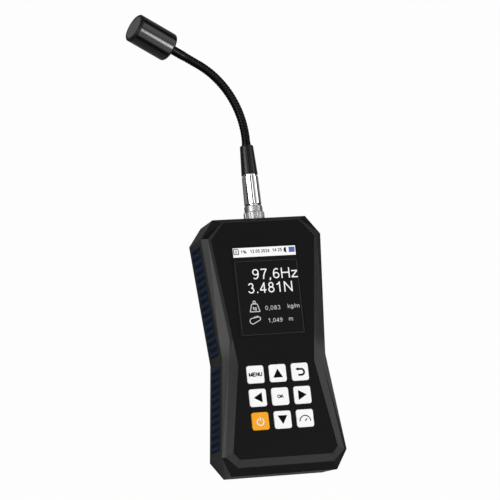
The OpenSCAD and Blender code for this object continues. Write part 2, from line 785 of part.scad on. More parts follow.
// A screw that stands on its head, with a cross slot
module screw(r, l, head_r, head_h) {
  difference() {
    union() {
      cylinder(head_h, r = head_r);
      cylinder(head_h + l, r = r);
    }
    for (a = [0, 90]) rotate([0, 0, a]) cube([drive_w, drive_l * head_r / screw_head_r, drive_depth], center = true);
  }
}

module board_screws() {
  color("#b7babd") for (p = POST_PLACES) translate([p.x, p.y, board_low_z - board_screw_head_h])
    screw(board_screw_r, board_screw_l, board_screw_head_r, board_screw_head_h);
}

module housing_screws() {
  color("#8e9196") for (p = SCREW_PLACES) translate([p.x, p.y, head_pocket - screw_head_h])
    screw(screw_r, screw_l, screw_head_r, screw_head_h);
}

// Places of the contacts round the plug's axis
module at_contacts(y) {
  on_plug_axis() for (i = [0 : contact_count - 1]) rotate([0, 0, i * 360 / contact_count])
    translate([contact_circle_r, 0, y]) children();
}

// The metal socket in the top wall: a threaded barrel inside, a notched flange and a collar outside
module socket_body() {
  color("#c9ccd0") difference() {
    turned([
      [bore_r, collar_y], [collar_r - socket_chamfer, collar_y], [collar_r, collar_y - socket_chamfer],
      [collar_r, flange_y], [flange_r - socket_chamfer, flange_y], [flange_r, flange_y - socket_chamfer],
      [flange_r, half_l], [seal_out_r, half_l], [seal_out_r, half_l + seal_t], [seal_in_r, half_l + seal_t],
      [seal_in_r, half_l], [barrel_r, half_l], [barrel_r, barrel_y], [post_bore_r, barrel_y],
      [post_bore_r, socket_floor_y], [bore_r, socket_floor_y]]);
    on_plug_axis() for (i = [0 : notch_count - 1]) rotate([0, 0, i * 360 / notch_count])
      translate([flange_r, 0, half_l + seal_t + notch_r]) cylinder(flange_l, r = notch_r, $fn = 16);
  }
}

// The hexagonal nut that holds the socket from inside
module socket_nut() {
  color("#b5b8bc") on_plug_axis() translate([0, 0, wall_in_y - nut_t]) difference() {
    cylinder(nut_t, r = nut_r, $fn = 6);
    translate([0, 0, -over]) cylinder(nut_t + 2 * over, r = barrel_r + plug_gap);
  }
}

module socket_seal() {
  color("#2c2c2c") tube(seal_out_r - plug_gap, seal_in_r + plug_gap, half_l, half_l + seal_t);
}

module socket_insulator() {
  color("#e4e0d2") difference() {
    tube(insulator_r, 0, barrel_y + insulator_step, insulator_tip_y);
    at_contacts(barrel_y) cylinder(insulator_tip_y - barrel_y + over, r = contact_hole_r);
  }
}

module socket_contacts() {
  color("#d4b45a") at_contacts(contact_tail_y) cylinder(contact_end_y - contact_tail_y, r = contact_r);
}

// The flat lead from the socket's contacts to the back of the board
module sensor_lead() {
  color("#c98a3c") translate([-lead_strip_w / 2, 0, 0]) rotate([90, 0, 90]) linear_extrude(lead_strip_w) polygon([
    [contact_tail_y, plug_z - contact_circle_r - 2 * contact_r], [contact_tail_y, board_low_z],
    [contact_tail_y - lead_strip_foot, board_low_z],
    [contact_tail_y - lead_strip_foot, board_low_z - lead_strip_t],
    [contact_tail_y - lead_strip_t, board_low_z - lead_strip_t],
    [contact_tail_y - lead_strip_t, plug_z - contact_circle_r - 2 * contact_r]]);
}

module plug_shell() {
  color("#c2c5c9") tube(plug_r, plug_bore_r, plug_end_y, skirt_end_y);
}

module plug_insulator() {
  color("#e4e0d2") difference() {
    tube(plug_bore_r - plug_gap, 0, plug_insulator_y, plug_insulator_y + plug_insulator_l);
    at_contacts(plug_insulator_y - over) cylinder(plug_insulator_l + 2 * over, r = contact_hole_r);
  }
}

module plug_pins() {
  tip_y = contact_end_y + pin_tip_gap;
  color("#d4b45a") at_contacts(tip_y)
    cylinder(plug_insulator_y + plug_insulator_l + pin_tail_l - tip_y, r = contact_r);
}

// The collet that grips the arm's end in the plug
module plug_collet() {
  color("#b08d4a") tube(collet_r, arm_end_r + plug_gap, skirt_end_y, back_nut_y - back_nut_lip);
}

module plug_back_nut() {
  color("#b5b8bc") turned([
    [back_nut_r, skirt_end_y], [back_nut_r, back_nut_y], [gland_r, back_nut_y],
    [gland_r, back_nut_y - back_nut_lip], [collet_r + plug_gap, back_nut_y - back_nut_lip],
    [collet_r + plug_gap, skirt_end_y]]);
}

// The soft black sleeve over the plug's rear and the start of the arm
module bend_relief() {
  color("#1c1c1e") turned([
    [skirt_r, relief_y], [relief_r, relief_y], [relief_mouth_r, relief_end_y - relief_round],
    [relief_mouth_r - relief_round, relief_end_y], [gland_r, relief_end_y],
    [gland_r, back_nut_y + plug_gap], [back_nut_r + plug_gap, back_nut_y + plug_gap],
    [back_nut_r + plug_gap, skirt_end_y], [skirt_r, skirt_end_y]]);
}

// The metal sleeve that is drawn back to release the plug
module latch_sleeve() {
  color("#cfd2d6") turned([
    [bore_r, sleeve_y], [sleeve_r - socket_chamfer, sleeve_y], [sleeve_r, sleeve_y + socket_chamfer],
    [sleeve_r - sleeve_taper, sleeve_end_y], [tail_r, sleeve_end_y], [tail_r, sleeve_end_y + tail_l],
    [bore_r, sleeve_end_y + tail_l]]);
}

// A link of the arm along Z: a cup over the ball before it, a ribbed body and its own ball at length l
module link(l, r, ribbed, ball) {
  low = -cup_share * ball_r;
  high = ball ? l - end_share * ball_r : l;
  ribs = ribbed ? floor((high - low - rib_pitch / 2) / rib_pitch) : 0;
  groove = rib_pitch / 2 * rib_share;
  edge = [for (i = [1 : 1 : ribs]) let (z = low + i * rib_pitch)
    each [[r, z - groove], [r - rib_depth, z - groove / 2], [r - rib_depth, z + groove / 2], [r, z + groove]]];
  difference() {
    rotate_extrude() polygon(concat([[0, low], [r, low]], edge, [[r, high], [0, high]]));
    sphere(pocket_r);
  }
  if (ball) {
    translate([0, 0, high - rib_depth]) cylinder(l - high + rib_depth, r = stem_share * ball_r);
    translate([0, 0, l]) sphere(ball_r);
  }
}

// Link i of the arm, which starts at joint i - 1; the first one is held in the plug, the last one in the head
module arm_link(i) {
  a = arm_place(joint_s(i - 1));
  b = arm_place(i > joint_count ? head_s : joint_s(i));
  color("#1a1a1b") {
    if (i == 1) on_plug_axis() {
      top = relief_end_y + arm_lead;
      translate([0, 0, stub_y]) cylinder(top - end_share * ball_r - stub_y, r = arm_end_r);
      translate([0, 0, relief_end_y]) cylinder(arm_lead, r = stem_share * ball_r);
      translate([0, 0, top]) sphere(ball_r);
    }
    else if (i <= joint_count) on_arm(joint_s(i - 1), heading(a, b)) link(reach(a, b), arm_r, true, true);
    else on_arm(joint_s(i - 1), bend_angle) {
      link(last_joint_gap + arm_end_h, arm_end_r, false, false);
      translate([0, 0, last_joint_gap + arm_end_h - over]) cylinder(ledge_h - arm_end_h + over, r = core_r);
    }
  }
}

// Puts a shape that is drawn along Z on the head's axis, with its rear face at the origin
module on_head() {
  on_arm(head_s, bend_angle) children();
}

module head_shell() {
  color("#1e1f20") on_head() rotate_extrude() polygon(concat(
    [[gland_r, 0]],
    [for (a = [0 : 15 : 90]) [head_r - head_round * (1 - sin(a)), head_round * (1 - cos(a))]],
    [[head_r, head_body_l], [head_bore_r, head_body_l], [head_bore_r, ledge_h], [head_bore_r - ledge, ledge_h],
      [head_bore_r - ledge, head_back_t], [gland_r, head_back_t]]));
}

// The ring that closes the head's front and carries the sound mesh
module head_ring() {
  spigot_r = head_bore_r - fit_gap / 2;
  seat_r = mesh_r - mesh_seat;
  color("#232425") on_head() rotate_extrude() polygon([
    [seat_r, spigot_h], [spigot_r, spigot_h], [spigot_r, head_body_l], [head_r, head_body_l],
    [head_r, head_l - ring_bevel], [head_r - ring_bevel, head_l], [mesh_r, head_l], [mesh_r, mesh_h],
    [seat_r, mesh_h]]);
}

module sound_mesh() {
  color("#3a3b3c") on_head() translate([0, 0, mesh_h]) cylinder(mesh_t, r = mesh_r - fit_gap / 2);
}

// The microphone capsule and its two pins, which stand on the small board behind it
module microphone() {
  pin_l = capsule_h - ledge_h - preamp_t;
  color("#b9bcc0") on_head() {
    translate([0, 0, capsule_h]) cylinder(capsule_l, r = capsule_r);
    for (side = [-1, 1]) translate([side * capsule_pin_half, 0, capsule_h - pin_l])
      cylinder(pin_l + capsule_l / 2, r = capsule_pin_r);
  }
}

// The soft ring that holds the capsule in the head
module microphone_mount() {
  color("#303030") on_head() translate([0, 0, spigot_h - mount_l]) difference() {
    cylinder(mount_l, r = head_bore_r - fit_gap / 2);
    translate([0, 0, -over]) cylinder(mount_l + 2 * over, r = capsule_r + plug_gap);
  }
}

module preamp_board() {
  color("#1d5c3a") on_head() translate([0, 0, ledge_h]) cylinder(preamp_t, r = head_bore_r - fit_gap / 2);
}

// The ring that is pressed on the arm's end behind the head's rear wall
module arm_ferrule() {
  color("#b5b8bc") on_head() translate([0, 0, head_back_t]) difference() {
    cylinder(ferrule_l, r = arm_end_r + ferrule_wall);
    translate([0, 0, -over]) cylinder(ferrule_l + 2 * over, r = arm_end_r + plug_gap);
  }
}

key_shade = "#e9e9e6";
power_shade = "#f0a01c";

front_shell();
rear_shell();
shell_gasket();
grip(-1, 0);  // grip_left_upper
grip(-1, 1);  // grip_left_lower
grip(1, 0);  // grip_right_upper
grip(1, 1);  // grip_right_lower
front_overlay();
display_window();
display_dust_seal();
display_panel();
display_backlight();
main_board();
board_components();
key_switches();
key(KEY_PLACES[0], key_shade);  // key_menu
key(KEY_PLACES[1], key_shade);  // key_up
key(KEY_PLACES[2], key_shade);  // key_back
key(KEY_PLACES[3], key_shade);  // key_left
key(KEY_PLACES[4], key_shade);  // key_ok
key(KEY_PLACES[5], key_shade);  // key_right
key(KEY_PLACES[6], power_shade);  // key_power
key(KEY_PLACES[7], key_shade);  // key_down
key(KEY_PLACES[8], key_shade);  // key_gauge
battery();
battery_pad();
battery_lead();
charging_socket();
board_screws();
housing_screws();
socket_body();
socket_nut();
socket_seal();
socket_insulator();
socket_contacts();
sensor_lead();
plug_shell();
plug_insulator();
plug_pins();
plug_collet();
plug_back_nut();
bend_relief();
latch_sleeve();
arm_link(1);  // arm_link_1
arm_link(2);  // arm_link_2
arm_link(3);  // arm_link_3
arm_link(4);  // arm_link_4
arm_link(5);  // arm_link_5
arm_link(6);  // arm_link_6
arm_link(7);  // arm_link_7
arm_link(8);  // arm_link_8
head_shell();
head_ring();
sound_mesh();
microphone();
microphone_mount();
preamp_board();
arm_ferrule();
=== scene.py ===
import json
import math

import bpy
from mathutils import Matrix, Vector

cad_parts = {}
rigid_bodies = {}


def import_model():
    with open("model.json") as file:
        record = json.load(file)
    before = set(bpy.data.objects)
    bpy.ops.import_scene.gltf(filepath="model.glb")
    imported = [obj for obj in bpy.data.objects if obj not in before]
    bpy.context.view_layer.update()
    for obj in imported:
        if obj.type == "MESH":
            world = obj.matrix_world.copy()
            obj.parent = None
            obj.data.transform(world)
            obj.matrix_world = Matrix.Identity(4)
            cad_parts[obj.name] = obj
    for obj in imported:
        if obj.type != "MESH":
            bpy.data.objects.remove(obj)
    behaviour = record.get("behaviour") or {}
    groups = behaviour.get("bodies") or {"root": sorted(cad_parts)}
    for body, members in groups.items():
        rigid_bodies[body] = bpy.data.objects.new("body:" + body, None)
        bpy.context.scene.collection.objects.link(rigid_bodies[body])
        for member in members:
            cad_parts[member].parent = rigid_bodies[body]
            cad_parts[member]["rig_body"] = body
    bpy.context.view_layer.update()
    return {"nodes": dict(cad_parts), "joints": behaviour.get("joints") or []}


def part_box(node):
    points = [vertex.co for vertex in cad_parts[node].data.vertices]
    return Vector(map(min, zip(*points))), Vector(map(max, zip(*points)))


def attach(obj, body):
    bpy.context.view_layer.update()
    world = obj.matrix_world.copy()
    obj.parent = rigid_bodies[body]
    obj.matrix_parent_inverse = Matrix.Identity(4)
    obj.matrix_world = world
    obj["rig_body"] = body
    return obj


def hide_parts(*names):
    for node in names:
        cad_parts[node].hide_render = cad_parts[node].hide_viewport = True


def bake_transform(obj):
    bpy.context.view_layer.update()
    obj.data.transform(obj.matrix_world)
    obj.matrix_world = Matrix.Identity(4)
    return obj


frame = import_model()
nodes = frame["nodes"]

# The view. The tester lies on its back and is seen from its front's lower left through a long lens,
# with its top leaning to the left.
mm = 0.001
lens_length = 216
camera_place = Vector((-0.6266, -0.2746, 1.8635))
sight_line = Vector((0.31450, 0.17186, -0.93357)).normalized()
camera_right = Vector((0.94803, -0.10684, 0.29970)).normalized()
camera = bpy.data.objects.new("camera", bpy.data.cameras.new("camera"))
camera.data.lens = lens_length
camera.data.sensor_width = 36
camera.data.clip_end = 20
camera_up = camera_right.cross(sight_line)
camera.matrix_world = Matrix.Translation(camera_place) @ Matrix(
    (camera_right, camera_up, -sight_line)).transposed().to_4x4()
scene = bpy.context.scene
scene.collection.objects.link(camera)
scene.camera = camera
scene.view_settings.view_transform = "Standard"


# The pale table and the light. The table is plain white to the camera, and matt grey in its own light, so that
# it keeps the tester's shadow.
class Wire:
    """A value in a finish's nodes, which can be reckoned with like a number."""

    def __init__(self, nodes, socket):
        self.nodes, self.socket = nodes, socket

    def sum(self, operation, *values):
        return self.nodes.node("ShaderNodeMath", {"operation": operation}, dict(enumerate(values)))

    def __abs__(self):
        return self.sum("ABSOLUTE", self)

    def __add__(self, other):
        return self.sum("ADD", self, other)

    def __sub__(self, other):
        return self.sum("SUBTRACT", self, other)

    def __rsub__(self, other):
        return self.sum("SUBTRACT", other, self)

    def __mul__(self, other):
        return self.sum("MULTIPLY", self, other)

    __radd__, __rmul__ = __add__, __mul__


class Nodes:
    """A tree of nodes, in which each call adds one node."""

    def __init__(self, tree):
        self.tree = tree

    def feed(self, socket, value):
        if isinstance(value, Wire):
            self.tree.links.new(value.socket, socket)
        else:
            socket.default_value = value

    def node(self, kind, settings, sockets, out=0):
        made = self.tree.nodes.new(kind)
        for name, value in settings.items():
            if name == "stops":
                for stop, (place, colour) in zip(made.color_ramp.elements, value):
                    stop.position, stop.color = place, colour
            else:
                setattr(made, name, value)
        for name, value in sockets.items():
            self.feed(made.inputs[name], value)
        return Wire(self, made.outputs[out])

    def shades(self, amount, dark, light):
        return self.node("ShaderNodeMix", {"data_type": "RGBA"}, {"Factor": amount, 6: dark, 7: light}, 2)


class Finish(Nodes):
    """A surface finish: plain values go on the shader's own sockets, and nodes are added to it."""

    def __init__(self, name, **plain):
        self.material = bpy.data.materials.new(name)
        self.material.use_nodes = True
        super().__init__(self.material.node_tree)
        self.skin = self.tree.nodes["Principled BSDF"]
        self.set(**plain)

    def set(self, **values):
        for name, value in values.items():
            self.feed(self.skin.inputs[name.replace("_", " ")], value)

    def noise(self, size, stretch=(1, 1, 1), detail=3):
        place = self.node("ShaderNodeTexCoord", {}, {}, "Object")
        spots = self.node("ShaderNodeMapping", {}, {"Vector": place, "Scale": stretch})
        return self.node("ShaderNodeTexNoise", {}, {"Vector": spots, "Scale": 1 / size, "Detail": detail}, "Fac")

    def bump(self, height, depth, strength=1.0):
        self.set(Normal=self.node("ShaderNodeBump", {}, {"Height": height, "Distance": depth, "Strength": strength}))


def grey(value, alpha=1):
    return (value, value, value, alpha)


table_half = 0.6
table_white = grey(0.22)
table_gap = 0.03 * mm
bpy.ops.mesh.primitive_plane_add(size=2 * table_half, location=(0, 0, -table_gap))
table = bpy.context.object
table.name = "table"
table_finish = Finish("table_white", Base_Color=table_white, Roughness=0.9, Specular_IOR_Level=0.1)
seen = table_finish.node("ShaderNodeLightPath", {}, {}, "Is Camera Ray")
through = table_finish.node("ShaderNodeLightPath", {}, {}, "Is Transmission Ray")
glow = table_finish.node("ShaderNodeEmission", {}, {"Color": grey(1), "Strength": 1.0})
shown = seen * 0.98 + through * 0.5
mixed = table_finish.node("ShaderNodeMixShader", {}, {0: shown, 1: Wire(table_finish, table_finish.skin.outputs[0]),
    2: glow})
table_finish.feed(table_finish.tree.nodes["Material Output"].inputs["Surface"], mixed)
table.data.materials.append(table_finish.material)

# The room: a light tent with a grey top, which stands to the right of and behind the camera, and a white cloth
# that is hung across the top on the left side. A narrow dark gap runs through both.
room_low, room_top, tent_light, cloth_light = grey(0.015), grey(0.3), grey(1.15), grey(3.3)
world = bpy.data.worlds.new("studio")
scene.world = world
world.use_nodes = True
room = Nodes(world.node_tree)
direction = room.node("ShaderNodeTexCoord", {}, {}, "Generated")
across, along, upwards = (room.node("ShaderNodeSeparateXYZ", {}, {0: direction}, axis) for axis in "XYZ")


def eased_step(value, start, end):
    """Nought where the value is before the start, one beyond the end, and a soft edge between them."""
    return room.node("ShaderNodeMapRange", {"interpolation_type": "SMOOTHSTEP"},
        {"Value": value, "From Min": start, "From Max": end})


above_floor = eased_step(upwards, 0.36, 0.5)
tent = eased_step(upwards, 0.9, 0.72) * eased_step(along - across * 0.5, 0.42, 0.22)
cloth = eased_step(abs(along - 0.01), 0.25, 0.2) * eased_step(across, 0.18, 0.1)
gap = eased_step(abs(across + 0.16), 0.16, 0.13)
hung = room.shades(cloth, room.shades(tent, room_top, tent_light), cloth_light)
seen_room = room.shades(above_floor * (1 - gap), room_low, hung)
watched = room.node("ShaderNodeLightPath", {}, {}, "Is Camera Ray")
room.feed(world.node_tree.nodes["Background"].inputs["Color"], room.shades(watched, seen_room, grey(1)))

LAMPS = {
    "left_lamp": {"place": (-1.15, 0.48, 0.56), "size": (0.18, 0.8), "power": 2.2},
    "near_lamp": {"place": (-0.24, -0.63, 1.34), "size": (0.35, 0.35), "power": 0.9},
    "right_lamp": {"place": (1.12, 0.25, 0.58), "size": (0.4, 0.4), "power": 0.8},
    "front_lamp": {"place": (0.56, -0.3, 1.17), "size": (0.42, 0.14), "power": 3.1},
}
lamp_target = Vector((0, 0.05, 0.02))
for name, lamp in LAMPS.items():
    light = bpy.data.lights.new(name, "AREA")
    light.shape = "RECTANGLE"
    light.size, light.size_y = lamp["size"]
    light.energy = lamp["power"]
    holder = bpy.data.objects.new(name, light)
    scene.collection.objects.link(holder)
    holder.location = lamp["place"]
    holder.rotation_euler = (lamp_target - holder.location).to_track_quat("-Z", "Y").to_euler()


# The two halves of the housing. Both are moulded in black ABS with a fine spark-eroded grain, and their edges
# are eased a little, as a mould leaves them.
def alone(piece):
    bpy.ops.object.select_all(action="DESELECT")
    piece.select_set(True)
    bpy.context.view_layer.objects.active = piece


def eased(node, name, width, segments=2, angle=20):
    """A copy of a node's shape with its sharp edges rounded off, which stands in for the node."""
    piece = nodes[node].copy()
    piece.data = nodes[node].data.copy()
    piece.name = piece.data.name = name
    for key in list(piece.keys()):
        del piece[key]
    piece.parent = None
    scene.collection.objects.link(piece)
    alone(piece)
    bpy.ops.object.mode_set(mode="EDIT")
    bpy.ops.mesh.select_all(action="SELECT")
    bpy.ops.mesh.remove_doubles(threshold=0.002 * mm)
    bpy.ops.mesh.tris_convert_to_quads(face_threshold=math.radians(1), shape_threshold=math.radians(60))
    bpy.ops.object.mode_set(mode="OBJECT")
    return rounded(piece, node, width, segments, angle)


def rounded(piece, node, width, segments, angle):
    """The piece with its sharp edges rounded off, in the node's place."""
    alone(piece)
    rounding = piece.modifiers.new("rounding", "BEVEL")
    rounding.width = width
    rounding.segments = segments
    rounding.limit_method = "ANGLE"
    rounding.angle_limit = math.radians(angle)
    bpy.ops.object.modifier_apply(modifier="rounding")
    bpy.ops.object.shade_smooth()
    flats = piece.modifiers.new("flats", "WEIGHTED_NORMAL")
    flats.mode = "FACE_AREA_WITH_ANGLE"
    flats.weight = 100
    bpy.ops.object.modifier_apply(modifier="flats")
    piece.data.materials.clear()
    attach(piece, nodes[node]["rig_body"])
    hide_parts(node)
    return piece


def dress(piece, finish):
    piece.data.materials.clear()
    piece.data.materials.append(finish.material)


moulding = Finish("black_moulding", Specular_IOR_Level=0.42)
grain = moulding.noise(0.35 * mm, detail=2)
cloud = moulding.noise(14 * mm)
moulding.set(Base_Color=moulding.shades(cloud, (0.0026, 0.0024, 0.0022, 1), (0.0042, 0.0038, 0.0035, 1)),
    Roughness=cloud * 0.06 + 0.31)
moulding.bump(grain, 0.02 * mm, 0.4)
front_case = eased("front_shell", "front_case", 0.2 * mm, angle=8)
dress(front_case, moulding)
rear_case = eased("rear_shell", "rear_case", 0.3 * mm, angle=8)
dress(rear_case, moulding)

# The seal between the two halves, a flat ring of black rubber that is pressed on the rear half's tongue.
sealing = Finish("seal_rubber", Roughness=0.7)
sealing.set(Base_Color=sealing.shades(sealing.noise(2 * mm), grey(0.012), grey(0.022)))
for name in ("shell_gasket", "display_dust_seal", "socket_seal"):
    dress(nodes[name], sealing)

# The four grips in the side walls, soft dark blue rubber strips with a ladder of ribs, glued in their pockets.
# Their blue is painted dark in bands along the grooves between the ribs, which is painted shade.
rib_step = 4.7 * mm
for side in ("left", "right"):
    for part in ("upper", "lower"):
        grip_rubber = Finish(f"grip_rubber_{side}_{part}", Specular_IOR_Level=0.15)
        strip_place = grip_rubber.node("ShaderNodeTexCoord", {}, {}, "Object")
        strip_along = grip_rubber.node("ShaderNodeSeparateXYZ", {}, {0: strip_place}, "Y")
        strip_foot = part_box(f"grip_{side}_{part}")[0].y
        turn = (strip_along - strip_foot) * (2 * math.pi / rib_step)
        wave = turn.sum("COSINE", turn)
        wear = grip_rubber.noise(3 * mm)
        # Painted shade: the colour goes dark in bands at the rib pitch, where the grooves lie; the random noise on top
        # is wear.
        painted_groove_shade_mix = wear * 0.4 - wave * 0.5 + 0.3
        grip_rubber.set(Base_Color=grip_rubber.shades(painted_groove_shade_mix, (0.002, 0.003, 0.006, 1), (0.010, 0.028, 0.072, 1)),
            Roughness=wear * 0.15 + 0.55)
        grip_rubber.bump(grip_rubber.noise(0.25 * mm), 0.02 * mm, 0.5)
        dress(eased(f"grip_{side}_{part}", f"grip_strip_{side}_{part}", 0.2 * mm), grip_rubber)

# The front sheet, satin black film that is printed on its back and glued into the front's pocket.
film = Finish("front_film", Specular_IOR_Level=0.08)
film.set(Base_Color=film.shades(film.noise(30 * mm), grey(0.004), grey(0.005)),
    Roughness=film.noise(9 * mm) * 0.06 + 0.5)
film.bump(film.noise(0.4 * mm, detail=2), 0.006 * mm, 0.4)
dress(eased("front_overlay", "front_sheet", 0.06 * mm, segments=1), film)

# The window over the display, a clear plate with the display bonded behind it. It looks black where the
# display shows nothing.
window_gloss = Finish("window_gloss", Coat_Weight=0.08, Coat_Roughness=0.08, Specular_IOR_Level=0.08)
smear = window_gloss.noise(18 * mm)
window_gloss.set(Base_Color=window_gloss.shades(smear, grey(0.004), grey(0.0047)), Roughness=smear * 0.1 + 0.34)
dress(eased("display_window", "window_plate", 0.12 * mm), window_gloss)

# The picture on the display: a white bar with small signs on top, two large readings, and two small ones with
# a weight and a belt beside them. It is as flat as a print, and shines by itself.
window_low, window_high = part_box("display_window")
picture_z = window_high.z + 0.03 * mm
print_depth = 0.02 * mm


def filled(kind, corner_size, **settings):
    """A flat form with round corners, with the depth of a print."""
    bpy.ops.object.select_all(action="DESELECT")
    getattr(bpy.ops.mesh, f"primitive_{kind}_add")(**settings)
    form = bpy.context.object
    bpy.ops.object.transform_apply(location=True, rotation=True, scale=True)
    bpy.ops.object.mode_set(mode="EDIT")
    bpy.ops.mesh.select_all(action="SELECT")
    bpy.ops.mesh.bevel(offset=corner_size, affect="VERTICES", segments=2)
    bpy.ops.mesh.select_all(action="SELECT")
    bpy.ops.mesh.extrude_region_move(TRANSFORM_OT_translate={"value": (0, 0, print_depth / mm)})
    bpy.ops.mesh.select_all(action="SELECT")
    bpy.ops.mesh.normals_make_consistent(inside=False)
    bpy.ops.object.mode_set(mode="OBJECT")
    return form


def plate(x1, y1, x2, y2, corner_size=0.2):
    """A filled oblong between two of its corners."""
    form = filled("plane", corner_size / max(x2 - x1, y2 - y1), size=1)
    form.data.transform(Matrix.Translation(((x1 + x2) / 2, (y1 + y2) / 2, 0)) @ Matrix.Diagonal(
        (x2 - x1, y2 - y1, 1, 1)))
    return form


def triangle(x, y, size, angle):
    """A filled triangle that points along an angle in degrees."""
    return filled("circle", 0.05 * size, vertices=3, radius=size, fill_type="NGON", location=(x, y, 0),
        rotation=(0, 0, math.radians(angle - 90)))


def drawn(width, *lines):
    """Strokes of one width along lists of points, laid flat as a print."""
    bpy.ops.object.select_all(action="DESELECT")
    bpy.ops.curve.primitive_bezier_curve_add()
    pen = bpy.context.object
    pen.data.splines.clear()
    for line in lines:
        path = pen.data.splines.new("POLY")
        path.points.add(len(line) - 1)
        for knot, (x, y) in zip(path.points, line):
            knot.co = (x, y, 0, 1)
    pen.data.bevel_depth = width / 2
    pen.data.bevel_resolution = 1
    pen.data.use_fill_caps = True
    bpy.ops.object.convert(target="MESH")
    pen = bpy.context.object
    pen.data.transform(Matrix.Diagonal((1, 1, print_depth / mm / width, 1)))
    return pen


def arc(x, y, across, up, start, end):
    """Points of an arc about a point, from one angle to another in degrees, anticlockwise where end is larger."""
    steps = max(4, round(abs(end - start) / 15))
    angles = [math.radians(start + (end - start) * i / steps) for i in range(steps + 1)]
    return [(x + across * math.cos(angle), y + up * math.sin(angle)) for angle in angles]


# Each letter has the room it takes and its strokes, in shares of a capital's height.
LETTERS = {
    "0": (0.78, arc(0.39, 0.5, 0.25, 0.44, 90, 450)),
    "1": (0.78, [(0.16, 0.72), (0.32, 0.8), (0.44, 0.93)], [(0.45, 0), (0.45, 1)]),
    "2": (0.78, arc(0.38, 0.7, 0.24, 0.24, 170, -30) + [(0.4, 0.36), (0.16, 0.07)], [(0.12, 0.06), (0.66, 0.06)]),
    "3": (0.78, arc(0.37, 0.72, 0.2, 0.22, 165, -80), arc(0.37, 0.28, 0.25, 0.23, 85, -165)),
    "4": (0.78, [(0.5, 0), (0.5, 1)], [(0.5, 0.94), (0.1, 0.3)], [(0.06, 0.27), (0.68, 0.27)]),
    "5": (0.78, [(0.24, 0.94), (0.62, 0.94)], [(0.25, 0.97), (0.17, 0.48)], arc(0.38, 0.34, 0.25, 0.28, 135, -160)),
    "6": (0.78, arc(0.39, 0.31, 0.25, 0.25, 90, 450), arc(0.43, 0.47, 0.29, 0.47, 195, 55)),
    "7": (0.78, [(0.1, 0.94), (0.67, 0.94)], [(0.65, 0.93), (0.46, 0.6), (0.35, 0.28), (0.32, 0)]),
    "8": (0.78, arc(0.39, 0.73, 0.2, 0.21, 90, 450), arc(0.39, 0.28, 0.25, 0.23, 90, 450)),
    "9": (0.78, arc(0.38, 0.69, 0.25, 0.25, 90, 450), arc(0.34, 0.53, 0.29, 0.47, 15, -125)),
    ",": (0.39, [(0.2, 0.13), (0.2, 0), (0.14, -0.14)]),
    ".": (0.39, [(0.2, 0), (0.2, 0.13)]),
    ":": (0.39, [(0.2, 0), (0.2, 0.13)], [(0.2, 0.58), (0.2, 0.71)]),
    "/": (0.39, [(0.02, 0), (0.37, 1)]),
    "%": (1.24, arc(0.3, 0.74, 0.17, 0.2, 90, 450), arc(0.94, 0.26, 0.17, 0.2, 90, 450), [(0.34, 0), (0.9, 1)]),
    "H": (1.0, [(0.15, 0), (0.15, 1)], [(0.85, 0), (0.85, 1)], [(0.15, 0.53), (0.85, 0.53)]),
    "N": (1.0, [(0.15, 0), (0.15, 1)], [(0.16, 0.95), (0.84, 0.05)], [(0.85, 0), (0.85, 1)]),
    "M": (1.16, [(0.15, 0), (0.15, 1)], [(0.16, 0.95), (0.58, 0.04)], [(0.58, 0.04), (1, 0.95)], [(1.01, 0), (1.01, 1)]),
    "E": (0.93, [(0.17, 0), (0.17, 1)], [(0.17, 0.94), (0.84, 0.94)], [(0.17, 0.53), (0.8, 0.53)],
        [(0.17, 0.06), (0.86, 0.06)]),
    "U": (1.0, [(0.15, 1)] + arc(0.5, 0.4, 0.35, 0.34, 180, 360) + [(0.85, 1)]),
    "O": (1.09, arc(0.54, 0.5, 0.42, 0.44, 90, 450)),
    "K": (0.93, [(0.15, 0), (0.15, 1)], [(0.8, 0.97), (0.17, 0.36)], [(0.4, 0.56), (0.87, 0.02)]),
    "z": (0.7, [(0.07, 0.66), (0.63, 0.66)], [(0.6, 0.64), (0.1, 0.08)], [(0.07, 0.06), (0.65, 0.06)]),
    "k": (0.7, [(0.14, 0), (0.14, 1)], [(0.58, 0.7), (0.15, 0.28)], [(0.32, 0.42), (0.64, 0.01)]),
    "g": (0.78, arc(0.36, 0.37, 0.23, 0.3, 90, 450), [(0.61, 0.7), (0.61, 0)] + arc(0.36, -0.04, 0.25, 0.18, 0, -150)),
    "m": (1.16, [(0.14, 0), (0.14, 0.7)], arc(0.36, 0.46, 0.22, 0.2, 170, 0) + [(0.58, 0)],
        arc(0.8, 0.46, 0.22, 0.2, 170, 0) + [(1.02, 0)]),
}


def figures(text, x, y, height, width=None, weight=0.11):
    """Plain figures or letters with their left end and foot at a point."""
    room = sum(LETTERS[letter][0] for letter in text)
    along = width / room if width else height
    lines = []
    pen_x = x
    for letter in text:
        lines += [[(pen_x + along * u, y + height * v) for u, v in line] for line in LETTERS[letter][1:]]
        pen_x += along * LETTERS[letter][0]
    return drawn(weight * height, *lines)


def printed(name, forms, place, finish, body):
    """Joins the forms into one thin print and lays it on its piece."""
    bpy.ops.object.select_all(action="DESELECT")
    for form in forms:
        form.select_set(True)
    bpy.context.view_layer.objects.active = forms[0]
    if len(forms) > 1:
        bpy.ops.object.join()
    mark = bpy.context.object
    mark.name = mark.data.name = name
    mark.data.transform(Matrix.Translation(place) @ Matrix.Scale(mm, 4))
    mark.data.materials.clear()
    mark.data.materials.append(finish.material)
    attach(mark, body)
    return mark


def lit(name, colour, strength):
    shine = Finish(name, Base_Color=grey(0.01), Roughness=0.35, Emission_Color=colour, Emission_Strength=strength)
    raster = shine.noise(0.3 * mm)
    shine.set(Emission_Color=shine.shades(raster, tuple(0.94 * c for c in colour[:3]) + (1,), colour))
    return shine


